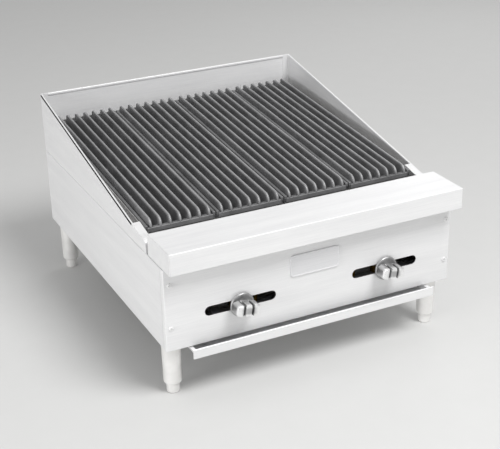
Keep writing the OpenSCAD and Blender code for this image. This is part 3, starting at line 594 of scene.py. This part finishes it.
class CHARBROILER_OT_panels(bpy.types.Operator):
    """Build the side panels, front panel, landing ledge and nameplate"""
    bl_idname = "charbroiler.panels"
    bl_label = "Body panels"

    def execute(self, context):
        sizes = context.scene.charbroiler_sheet
        gauge, bend = sizes.gauge, sizes.bend
        steel = finishes()
        inner = HALF_W - gauge
        lower_flange, upper_flange, front_flange, rear_flange = 48, 14, 30, 20
        seam = corners("side_panel_right")[0][Y] + sizes.panel_return + 0.3
        section = [(HALF_W - upper_flange, BODY_H), (HALF_W, BODY_H), (HALF_W, 0), (HALF_W - lower_flange, 0)]
        joggle = folded([(inner, seam + 12), (inner, gauge), (HALF_W - front_flange, gauge)], gauge, bend)
        rear = box_outline((HALF_W - rear_flange, BACK_Y - 2 * gauge), (inner, BACK_Y - gauge))
        right = [
            slab(folded(section, gauge, bend), seam, BACK_Y, Y, 0.25),
            slab(joggle, 2, BODY_H - 2, Z, 0.2),
            slab(rear, gauge, BODY_H - gauge, Z, 0.2),
        ]
        for side, shells in (("right", right), ("left", mirrored(right))):
            node = f"side_panel_{side}"
            make_piece(f"{node}_skin", shells, "chassis", [node], "stainless_sheet", steel["deep"])

        front = make_piece("front_panel_skin", [front_sheet(sizes)], "chassis", ["front_panel"], "stainless_sheet",
                           steel["across"], flat_faces=False)
        solid = front.modifiers.new("Sheet thickness", "SOLIDIFY")
        solid.thickness, solid.offset, solid.use_even_offset = gauge * MM, -1.0, True
        edge = front.modifiers.new("Cut edges", "BEVEL")
        edge.width, edge.segments, edge.limit_method, edge.angle_limit = 0.25 * MM, 1, "ANGLE", math.radians(60)
        edge.harden_normals = True

        top, low = LEDGE_HIGH[Z], LEDGE_LOW[Z] + 2
        front_y, back_y = LEDGE_LOW[Y], LEDGE_HIGH[Y]
        path = [(30, low), (front_y, low), (front_y, top), (back_y, top), (back_y, low)]
        end = rounded([(front_y, low), (front_y, top), (back_y, top), (back_y, low)], [bend + gauge] * 3 + [1.0], 5)
        ledge = [
            slab(folded(path[::-1], -gauge, bend, 5), -inner, inner, X, 0.05),
            slab(end, inner - 0.2, HALF_W, X, 0.9, 3), slab(end, -HALF_W, 0.2 - inner, X, 0.9, 3),
            slab(box_outline((2, BODY_H), (30, low)), 5 - HALF_W, HALF_W - 5, X, 0.2),
        ]
        make_piece("landing_ledge_skin", ledge, "chassis", ["landing_ledge"], "stainless_sheet", steel["across"])

        low_corner, high_corner = corners("nameplate")
        outline = box_outline(low_corner[[X, Z]], high_corner[[X, Z]], 7.0, 8)
        along = np.roll(outline, -1, 0) - np.roll(outline, 1, 0)
        normal = np.stack([along[:, 1], -along[:, 0]], -1) / np.linalg.norm(along, axis=1, keepdims=True)
        proud = -low_corner[Y]
        section = np.array([
            (0, 0), (0, proud - 0.5), (0.15, proud - 0.15), (0.5, proud), (1.8, proud), (2.15, proud - 0.15),
            (2.3, proud - 0.5), (2.5, proud - 0.75), (2.9, proud - 0.8),
        ])
        flat = outline[None] - section[:, 0][:, None, None] * normal[None]
        rings = np.stack([flat[..., 0], np.broadcast_to(-section[:, 1][:, None], flat.shape[:2]), flat[..., 1]], -1)
        make_piece("nameplate_blank", [shell(rings)], "chassis", ["nameplate"], "nameplate_metal", steel["plate"])
        return {"FINISHED"}


class CHARBROILER_OT_guard(bpy.types.Operator):
    """Build the three walls of the splash guard"""
    bl_idname = "charbroiler.guard"
    bl_label = "Splash guard"

    def execute(self, context):
        sizes = context.scene.charbroiler_sheet
        gauge, bend = sizes.gauge, sizes.bend
        steel = finishes()
        inner = HALF_W - gauge
        low, top = GUARD_LOW, GUARD_TOP
        front_y, knee_y, cap_y = 74.0, 105.0, 142.0
        shelf_z, cap_z = low + 25, low + 32.5
        wall = rounded(
            [(front_y, low), (BACK_Y, low), (BACK_Y, top), (cap_y, cap_z), (knee_y, shelf_z), (front_y, shelf_z)],
            [0.3, 0.3, 0.6, 6, 8, 15], 6,
        )
        cap_path = rounded(
            [(front_y, low), (front_y, shelf_z), (knee_y, shelf_z), (cap_y, cap_z), (cap_y + 0.5, cap_z - gauge),
             (knee_y + 0.4, shelf_z - gauge), (front_y + gauge, shelf_z - gauge), (front_y + gauge, low)],
            [0.3, 15, 8, 0.3, 0.3, 7, 13.8, 0.3], 8,
        )
        cap_low = corners("guard_right")[0][X]
        flange_y, strip_x, fillet, hem_t, hem_h = BACK_Y - 2 * gauge, HALF_W - 16, 2.6, 3.6, 6.0
        slope = np.array([flange_y - cap_y, top - cap_z])
        up = np.array([-slope[1], slope[0]]) / np.linalg.norm(slope)
        hem_x = HALF_W - hem_t
        hem_outline = rounded([(hem_x, -hem_h), (HALF_W, -hem_h), (HALF_W, 0.0), (hem_x, 0.0)], [1.7, 0.2, 0.8, 1.7], 4)
        path = np.array([[cap_y, cap_z], [flange_y, top]])
        hem = np.empty((2, len(hem_outline), 3))
        hem[..., X] = hem_outline[:, 0]
        hem[..., Y:] = path[:, None] + hem_outline[None, :, 1:] * up
        strip = rounded([(strip_x, BACK_Y - gauge), (strip_x, flange_y), (inner, flange_y), (inner, BACK_Y - gauge)], 0.3, 2)
        corner = rounded([(inner - fillet, flange_y), (inner, flange_y - fillet), (inner, flange_y)], 0.15, 2)
        skirt = box_outline((front_y + gauge, BODY_H), (flange_y, low + 3))
        shelf = box_outline((front_y + gauge, BODY_H), (flange_y, BODY_H + gauge))
        right = [
            slab(wall, inner, HALF_W, X, 0.25), slab(cap_path, cap_low, inner, X, 0.2), shell(hem),
            slab(strip, low, top, Z, 0.2), slab(corner, low, top - 1, Z, 0.1),
            slab(skirt, inner - 4 - gauge, inner - 4, X, 0.2), slab(shelf, HALF_W - 14, inner, X, 0.2),
        ]
        for side, shells in (("right", right), ("left", mirrored(right))):
            node = f"guard_{side}"
            make_piece(f"{node}_skin", shells, "chassis", [node], "stainless_sheet", steel["deep"])

        rear = corners("liner_rear")[0][Y] + gauge
        back = [
            slab(box_outline((-inner, low), (inner, top)), BACK_Y - gauge, BACK_Y, Y, 0.25),
            slab(box_outline((BACK_Y - hem_t, top - hem_h), (BACK_Y, top), 1.7, 4), -strip_x, strip_x, X, 0.4),
            slab(box_outline((-strip_x, BODY_H), (strip_x, low + 3)), flange_y, BACK_Y - gauge, Y, 0.2),
            slab(box_outline((-strip_x, rear), (strip_x, BACK_Y - gauge)), BODY_H, BODY_H + gauge, Z, 0.2),
        ]
        make_piece("guard_back_skin", back, "chassis", ["guard_back"], "stainless_sheet", steel["across"])
        return {"FINISHED"}


# ---------- grates ----------

def rib_shell(grate, x):
    """One rib in the grate's own plane: a section carried along the side view. The side view is a quarter circle nose, a
    straight crest and a small quarter circle tail. The section's crest is close to half an ellipse: at angle a it lies at
    width |sin a|^0.9 and depth 1 - (cos a)^0.9, and its sides spread evenly from there down to a wider foot."""
    nose, tail, depth, bottom = 15.0, 6.0, 4.0, -25.0
    half = grate.rib_width / 2 * 0.78
    bend = np.linspace(0, math.pi / 2, 13)
    lead = np.stack([nose - nose * np.cos(bend), nose * np.sin(bend) - nose], -1)
    lead_n = np.stack([-np.cos(bend), np.sin(bend)], -1)
    run = np.stack([np.linspace(nose, grate.length - tail, 46)[1:], np.zeros(45)], -1)
    run_n = np.tile([0.0, 1.0], (45, 1))
    bend = bend[::2][1:]
    end = np.stack([grate.length - tail + tail * np.sin(bend), tail * np.cos(bend) - tail], -1)
    end_n = np.stack([np.sin(bend), np.cos(bend)], -1)
    path, normal = np.concatenate([lead, run, end]), np.concatenate([lead_n, run_n, end_n])
    a = np.linspace(-math.pi / 2, math.pi / 2, 15)
    wide = half * np.sign(a) * np.abs(np.sin(a)) ** 0.9
    sink = depth * (1 - np.cos(a) ** 0.9)
    side = path[:, None] - normal[:, None] * sink[None, :, None]
    wander = 0.12 * np.sin(path[:, 0] / 37 + x)
    rings = np.empty((len(path), len(a) + 2, 3))
    rings[:, 1:-1, X] = x + wander[:, None] + wide
    rings[:, 1:-1, Y:] = side
    foot = path - normal * depth
    low = np.where(np.arange(len(path)) == 0, -nose, bottom)
    for k, sign in ((0, -1), (-1, 1)):
        rings[:, k, X] = x + sign * grate.rib_width / 2 * 1.9
        rings[:, k, Y] = foot[:, 0]
        rings[:, k, Z] = np.minimum(low, foot[:, 1] - 0.5)
    # The crest value marks the rib's top, which is drawn rubbed bright and also carries a painted highlight.
    crest = np.zeros(rings.shape[:2])
    crest[:, 1:-1] = np.clip(1.25 * np.cos(a) ** 7 - 0.25, 0, 1)
    return shell(rings), crest.ravel()


class CHARBROILER_OT_grates(bpy.types.Operator):
    """Build the four cast grates"""
    bl_idname = "charbroiler.grates"
    bl_label = "Grates"

    def execute(self, context):
        grate = context.scene.charbroiler_grates
        side = grate.pitch / 2 - 0.8
        bar_w, rail_w, cross_bars, bottom = 8, 6, 5, -25
        tilt = math.atan(grate.rise)
        turn = np.array([[1, 0, 0], [0, math.cos(tilt), -math.sin(tilt)], [0, math.sin(tilt), math.cos(tilt)]])
        for number in range(4):
            parts = [rib_shell(grate, (k - (grate.ribs - 1) / 2) * grate.rib_pitch) for k in range(grate.ribs)]
            flat, crests = [part[0] for part in parts], [part[1] for part in parts]
            bars = [slab(box_outline((y, bottom), (y + bar_w, bottom + 10), 1.6, 3), -side, side, X, 1.2)
                    for y in np.linspace(0, grate.length - bar_w, cross_bars)]
            bars += [slab(box_outline((x, bottom), (x + rail_w, bottom + 15), 1.8, 3), 0, grate.length, Y, 1.2)
                     for x in (-side, side - rail_w)]
            turned = [(p @ turn.T + [0, grate.front_y, grate.front_z], f) for p, f in flat + bars]
            for y, deep, base in ((124, 12, 181.2), (634, 14, 218.2)):
                pads = [box_outline((x * side, y), (x * side + 14, y + deep), 1.5, 3) for x in (-0.8, 0.6)]
                turned += [slab(pad, base, base + 5.8, Z, 0.5) for pad in pads]
            offset = [(number - 1.5) * grate.pitch, 0, 0]
            turned = [(p + offset, f) for p, f in turned]
            # The crest value carries the rubbed crests, partly a painted highlight, on the ribs; the bars and pads have
            # none.
            crest = np.concatenate(crests + [np.zeros(len(p)) for p, _ in turned[len(flat):]])
            name = f"grate_{number + 1}"
            iron = finishes()["iron"]
            make_piece(f"{name}_casting", turned, name, [name], "seasoned_iron", iron, 50.0, crest=crest)
        return {"FINISHED"}


# ---------- controls, legs and tray ----------

def smooth(value, low, high):
    """Nought below low, one above high, and an even S between."""
    t = np.clip((value - low) / (high - low), 0, 1)
    return t * t * (3 - 2 * t)


def knob_shell(knob, x, z, radius, reach, back):
    """A knob as a function of the angle round its axis and of the way along its side and face. The skirt is a disc with
    a low dome. The grip's outline is (|cos a / half length|^5 + |sin a / half height|^5)^(-1/5), less two finger
    grooves above and two below; the disc passes into it along the key points, and the grooves run on across the grip's
    face.
    The painted light value is lowest in the grooves, as a painted shade, a little lower where the grip rises from the
    disc, as a painted shade in that crease, a half on the dome, and 1 on the grip's front rim, as a painted highlight."""
    angle = np.arange(224) * 2 * math.pi / 224
    high = knob.bar_height / 2
    bar = (np.abs(np.cos(angle) / (radius - 0.3)) ** 5 + np.abs(np.sin(angle) / high) ** 5) ** -0.2
    u, v = bar * np.cos(angle), bar * np.sin(angle)
    finger = np.exp(-((np.abs(u) - knob.groove_place) / 2.4) ** 4) * smooth(np.abs(v), high - 3, high - 1)
    key = np.array([    # depth, scale of the outline, and share of the grip in it
        (back, 0.94, 0), (back + 0.3, 0.98, 0), (back + 0.9, 1, 0), (back + 3.2, 1, 0), (back + 4.2, 0.985, 0),
        (back + 4.9, 0.95, 0), (back + 6.4, 0.82, 0.1), (back + 7.6, 0.86, 0.8), (back + 9, 1, 1),
        (reach - 3, 0.985, 1), (reach - 1.7, 0.965, 1), (reach - 0.7, 0.92, 1), (reach - 0.15, 0.85, 1),
        (reach, 0.78, 1), (reach, 0.5, 1), (reach, 0.25, 1), (reach, 0.03, 1),
    ])
    step = np.linspace(0, len(key) - 1, 110)
    depth, scale, share = (np.interp(step, np.arange(len(key)), key[:, k])[:, None] for k in (0, 1, 2))
    r = (radius * (1 - share) + bar * share) * scale
    r = r - knob.groove * finger * smooth(depth, back + 8, back + 13) * np.minimum(scale, 1) ** 3
    u, v = r * np.cos(angle), r * np.sin(angle)
    across = np.exp(-((np.abs(u) - knob.groove_place) / 2.2) ** 4)
    face = knob.groove * 0.8 * across * smooth(depth, reach - 4, reach - 1)
    c, d = math.cos(math.radians(knob.turn)), math.sin(math.radians(knob.turn))
    rings = np.stack([x + u * c - v * d, -(depth - face), z + u * d + v * c], -1)
    # Painted light: shade in the crease and the grooves, half on the dome, highlight on the front rim.
    wear = 0.5 + 0.5 * smooth(depth, reach - 9, reach - 2) * smooth(scale, 0.3, 0.8) + 0 * u
    wear -= 0.3 * np.exp(-((depth - back - 6.6) / 1.6) ** 2)
    wear *= 1 - 0.9 * np.exp(-((np.abs(u) - knob.groove_place) / 2.6) ** 4) * smooth(depth, back + 8, back + 12)
    return shell(rings), wear.ravel()


def screw_shell(x, y, z, sign):
    """A pan head screw's head: a low dome, less a cross-shaped recess cut 1.2 mm deep."""
    angle = np.arange(56) * 2 * math.pi / 56
    r = np.array([4.4, 4.5, 4.5, 4.3, 3.9, 3.2, 2.7, 2.3, 1.9, 1.5, 1.1, 0.8, 0.55, 0.3])
    h = np.array([0.0, 0.2, 1.5, 2.0, 2.25, 2.45, 2.5, 2.53, 2.56, 2.58, 2.6, 2.6, 2.6, 2.6])
    u, v = r[:, None] * np.cos(angle), r[:, None] * np.sin(angle)
    arm = (np.minimum(np.abs(u), np.abs(v)) < 0.5) & (np.hypot(u, v) < 2.5)
    height = h[:, None] - 1.2 * arm
    return shell(np.stack([x + u, y + sign * height, z + v], -1))


class CHARBROILER_OT_controls(bpy.types.Operator):
    """Build the knobs and the panel screws"""
    bl_idname = "charbroiler.controls"
    bl_label = "Knobs and screws"

    def execute(self, context):
        knob = context.scene.charbroiler_knobs
        for side in ("left", "right"):
            node = f"knob_{side}"
            low, high = corners(node)
            centre = (low + high) / 2
            solid, wear = knob_shell(knob, centre[X], centre[Z], (high[X] - low[X]) / 2, -low[Y], -high[Y])
            # The knob carries its painted shade and highlight as a value on each point.
            make_piece(f"{node}_casting", [solid], node, [node], "knob_metal", finishes()["knob"], 45.0, wear=wear)
        low, high = corners("panel_screws")
        x = high[X] - 4.5
        heads = [screw_shell(side * x, 0, z, -1) for side in (-1, 1) for z in (47, 134)]
        heads += [screw_shell(side * x, BACK_Y, z, 1) for side in (-1, 1) for z in (55, 150)]
        make_piece("panel_screw_heads", heads, "chassis", ["panel_screws"], "plated_screw", finishes()["zinc"], 40.0)
        return {"FINISHED"}


class CHARBROILER_OT_legs(bpy.types.Operator):
    """Build the legs and their adjustable feet"""
    bl_idname = "charbroiler.legs"
    bl_label = "Legs and feet"

    def execute(self, context):
        nickel = finishes()["nickel"]
        for place in ("front_left", "front_right", "rear_left", "rear_right"):
            low, high = corners(f"leg_{place}")
            centre = np.append(((low + high) / 2)[:2], 0)
            top, end = (high[X] - low[X]) / 2, LEG_END
            profile = np.concatenate([
                [(8.2, end + 22), (8.2, end + 0.6), (8.8, end)], round_edge(top - 1, end + 4, 4.0, 7),
                [(top - 0.1, -0.6), (top - 0.5, 0)],
            ])
            tube = [lathe(profile, centre, Z, 72)]
            make_piece(f"leg_{place}_tube", tube, "chassis", [f"leg_{place}"], "plated_steel", nickel)
            low, high = corners(f"foot_{place}")
            radius = (high[X] - low[X]) / 2
            shoulder = LEG_END - 0.2
            profile = np.concatenate([
                round_edge(radius, FLOOR + 2.5, 2.5, 6), [(radius, shoulder - 0.8), (radius - 0.8, shoulder)],
                [(8.1, shoulder), (8.0, shoulder + 0.1), (8.0, high[Z])],
            ])
            foot, pad = f"foot_{place}", [lathe(profile, centre, Z, 72)]
            make_piece(f"{foot}_pad", pad, foot, [foot], "plated_steel", nickel)
        return {"FINISHED"}


class CHARBROILER_OT_tray(bpy.types.Operator):
    """Build the drip tray with its rolled front lip"""
    bl_idname = "charbroiler.tray"
    bl_label = "Drip tray"

    def execute(self, context):
        sizes = context.scene.charbroiler_sheet
        gauge, bend = sizes.gauge, sizes.bend
        low, high = corners("drip_tray")
        half, rim, flange, roll_t = 252.0, -3.4, 6, 3.6
        section = [(-half - flange, rim), (-half, rim), (-half, low[Z]), (half, low[Z]), (half, rim), (half + flange, rim)]
        pan = folded(section, -gauge, bend)
        lip_y, lip_z = low[Y], high[Z]
        lip = [(lip_y, low[Z]), (lip_y, lip_z), (lip_y + roll_t, lip_z), (lip_y + roll_t, lip_z - roll_t)]
        roll = folded(lip, gauge, 0.5, 5)
        tray = [
            slab(pan, low[Y] + gauge, high[Y] - gauge, Y, 0.2),
            slab(roll, low[X], high[X], X, 0.25),
            slab(box_outline((-half, low[Z]), (half, rim + gauge), 1.0), high[Y] - gauge, high[Y], Y, 0.2),
        ]
        make_piece("drip_tray_pan", tray, "drip_tray", ["drip_tray"], "stainless_sheet", finishes()["across"])
        return {"FINISHED"}


class CHARBROILER_OT_gas(bpy.types.Operator):
    """Build the supply pipe with its threaded inlet"""
    bl_idname = "charbroiler.gas"
    bl_label = "Gas inlet"

    def execute(self, context):
        low, high = corners("supply_pipe")
        centre = (low + high) / 2
        radius, bore, pitch, length = (high[X] - low[X]) / 2, 10.45, 1.814, 18.0
        angle = np.arange(96) * 2 * math.pi / 96
        start = high[Y] - length
        y = np.concatenate([[low[Y], start - 0.5], np.linspace(start, high[Y] - 0.8, 92), [high[Y]]])
        outer = np.repeat(np.array([radius] * 2 + [radius - 0.3] * 92 + [radius - 1.3])[:, None], len(angle), 1)
        turns = (y[2:-1, None] - start) / pitch - angle / (2 * math.pi)
        outer[2:-1] -= 0.95 * np.abs(2 * (turns % 1) - 1) * smooth(y[2:-1], start, start + 2)[:, None]
        tube_y = np.concatenate([y, [high[Y], high[Y] - 1, low[Y] + 1, low[Y]]])
        tube_r = np.concatenate([outer, np.repeat([[bore + 0.4], [bore], [bore], [bore + 0.4]], len(angle), 1)])
        rings = np.stack([centre[X] + tube_r * np.cos(angle), np.broadcast_to(tube_y[:, None], tube_r.shape),
                          centre[Z] + tube_r * np.sin(angle)], -1)
        make_piece("supply_pipe_threaded", [shell(rings, ends=False)], "chassis", ["supply_pipe"], "black_pipe",
                   finishes()["pipe"], 55.0)
        return {"FINISHED"}


class CHARBROILER_OT_inside(bpy.types.Operator):
    """Give the carried-over CAD nodes their finishes"""
    bl_idname = "charbroiler.inside"
    bl_label = "Inner parts"

    def execute(self, context):
        finish = finishes()
        groups = {
            "across": ["back_panel", "front_crossmember", "rear_crossmember"],
            "aluminised": ["liner_left", "liner_right", "liner_front", "liner_rear", "grease_deflectors", "grate_rest_front",
                           "grate_rest_rear", "radiant_rests", "burner_rests", "manifold_saddles", "tray_rails",
                           "air_shutter_left", "air_shutter_right"],
            "radiant": ["radiant_1", "radiant_2", "radiant_3", "radiant_4", "burner_left", "burner_right"],
            "iron": ["grease_trough"],
            "nickel": ["leg_plates"],
            "zinc": ["leg_bolts"],
            "pipe": ["manifold_pipe", "manifold_fittings"],
            "brass": ["gas_valves", "orifices", "pilot_valves", "valve_stem_left", "valve_stem_right"],
            "soft_tube": ["pilot_tubes", "pilot_burners"],
        }
        for key, names in groups.items():
            for name in names:
                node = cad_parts[name]
                for slot in node.material_slots:
                    slot.link = "OBJECT"
                    slot.material = finish[key]
        return {"FINISHED"}


# ---------- stage ----------

class CHARBROILER_OT_stage(bpy.types.Operator):
    """Set up the pale floor, soft light and camera"""
    bl_idname = "charbroiler.stage"
    bl_label = "Stage"

    def execute(self, context):
        settings = context.scene.charbroiler_stage
        material, tree, shader, where = blank_material("floor_matt_paint")
        speck = noise(tree, where, 60.0, 4.0, 0.6)
        pale = tuple(context.scene.charbroiler_finishes.floor)
        tree.links.new(tint(tree, speck, tuple(0.985 * c for c in pale), pale), shader.inputs["Base Color"])
        shader.inputs["Roughness"].default_value = 0.8
        floor_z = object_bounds()[0].z
        s = np.linspace(-1, 1, 9)
        u, v = np.meshgrid(s * 14, s * 14, indexing="ij")
        points = np.stack([u, v, np.full_like(u, floor_z)], -1).reshape(-1, 3)
        mesh = bpy.data.meshes.new("floor")
        mesh.from_pydata(points.tolist(), [], squares(9, 9).reshape(-1, 4).tolist())
        mesh.materials.append(material)
        floor = bpy.data.objects.new("floor", mesh)
        context.scene.collection.objects.link(floor)
        floor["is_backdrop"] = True

        world = bpy.data.worlds.new("pale_surround")
        context.scene.world = world
        world.use_nodes = True
        world.node_tree.nodes["Background"].inputs["Color"].default_value = (1, 1, 1, 1)
        world.node_tree.nodes["Background"].inputs["Strength"].default_value = settings.sky

        lamps = {
            "key": (settings.key, 1.5, (0.6, -1.9, 2.9), (0.0, 0.0, 0.2)),
            "fill": (settings.fill, 1.2, (-2.7, -0.9, 0.4), (0.0, 0.0, 0.2)),
            "rim": (settings.rim, 1.4, (2.1, 1.7, 1.5), (0.2, 0.0, 0.25)),
        }
        for name, (power, size, place, aim) in lamps.items():
            lamp = bpy.data.lights.new(name, "AREA")
            lamp.energy, lamp.shape, lamp.size = power, "DISK", size
            holder = bpy.data.objects.new(name, lamp)
            direction = Vector(place) - Vector(aim)
            holder.location = place
            holder.rotation_euler = direction.to_track_quat("Z", "Y").to_euler()
            context.scene.collection.objects.link(holder)

        data = bpy.data.cameras.new("camera")
        data.lens, data.sensor_width = settings.lens, 36.0
        data.clip_start, data.clip_end = 0.05, 100.0
        camera = bpy.data.objects.new("camera", data)
        a, e, r = (math.radians(v) for v in (settings.azimuth, settings.elevation, settings.roll))
        back = np.array([math.sin(a) * math.cos(e), -math.cos(a) * math.cos(e), math.sin(e)])
        right = np.cross(-back, [0, 0, 1])
        right /= np.linalg.norm(right)
        up = np.cross(right, -back)
        axes = np.eye(4)
        axes[:3, 0] = right * math.cos(r) + up * math.sin(r)
        axes[:3, 1] = up * math.cos(r) - right * math.sin(r)
        axes[:3, 2] = back
        axes[:3, 3] = settings.place
        camera.matrix_world = Matrix(axes.tolist())
        context.scene.collection.objects.link(camera)
        context.scene.camera = camera
        context.scene.view_settings.view_transform = "Standard"
        return {"FINISHED"}


# ---------- add-on ----------

BUILDERS = (
    CHARBROILER_OT_panels, CHARBROILER_OT_guard, CHARBROILER_OT_grates, CHARBROILER_OT_controls, CHARBROILER_OT_legs,
    CHARBROILER_OT_tray, CHARBROILER_OT_gas, CHARBROILER_OT_inside, CHARBROILER_OT_stage,
)


class CHARBROILER_PT_sidebar(bpy.types.Panel):
    """Sizes, finishes and builders of the charbroiler"""
    bl_idname = "CHARBROILER_PT_sidebar"
    bl_label = "Charbroiler"
    bl_space_type = "VIEW_3D"
    bl_region_type = "UI"
    bl_category = "Charbroiler"

    def draw(self, context):
        for builder in BUILDERS:
            self.layout.operator(builder.bl_idname)
        for key in GROUPS:
            box = self.layout.box()
            group = getattr(context.scene, key)
            for name in group.bl_rna.properties.keys():
                if name not in ("rna_type", "name"):
                    box.prop(group, name)


GROUPS = {
    "charbroiler_sheet": SheetSizes, "charbroiler_grates": GrateSizes, "charbroiler_knobs": KnobSizes,
    "charbroiler_finishes": Finishes, "charbroiler_stage": StageSettings,
}


def register():
    """Registers the classes and puts the settings on the scene."""
    for cls in (*GROUPS.values(), *BUILDERS, CHARBROILER_PT_sidebar):
        bpy.utils.register_class(cls)
    for key, cls in GROUPS.items():
        setattr(bpy.types.Scene, key, PointerProperty(type=cls))


def unregister():
    """Takes the settings and the classes away again."""
    for key in GROUPS:
        delattr(bpy.types.Scene, key)
    for cls in (CHARBROILER_PT_sidebar, *reversed(BUILDERS), *reversed(tuple(GROUPS.values()))):
        bpy.utils.unregister_class(cls)


def main():
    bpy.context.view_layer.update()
    register()
    bpy.ops.charbroiler.panels()
    bpy.ops.charbroiler.guard()
    bpy.ops.charbroiler.grates()
    bpy.ops.charbroiler.controls()
    bpy.ops.charbroiler.legs()
    bpy.ops.charbroiler.tray()
    bpy.ops.charbroiler.gas()
    bpy.ops.charbroiler.inside()
    bpy.ops.charbroiler.stage()


if __name__ == "__main__":
    main()
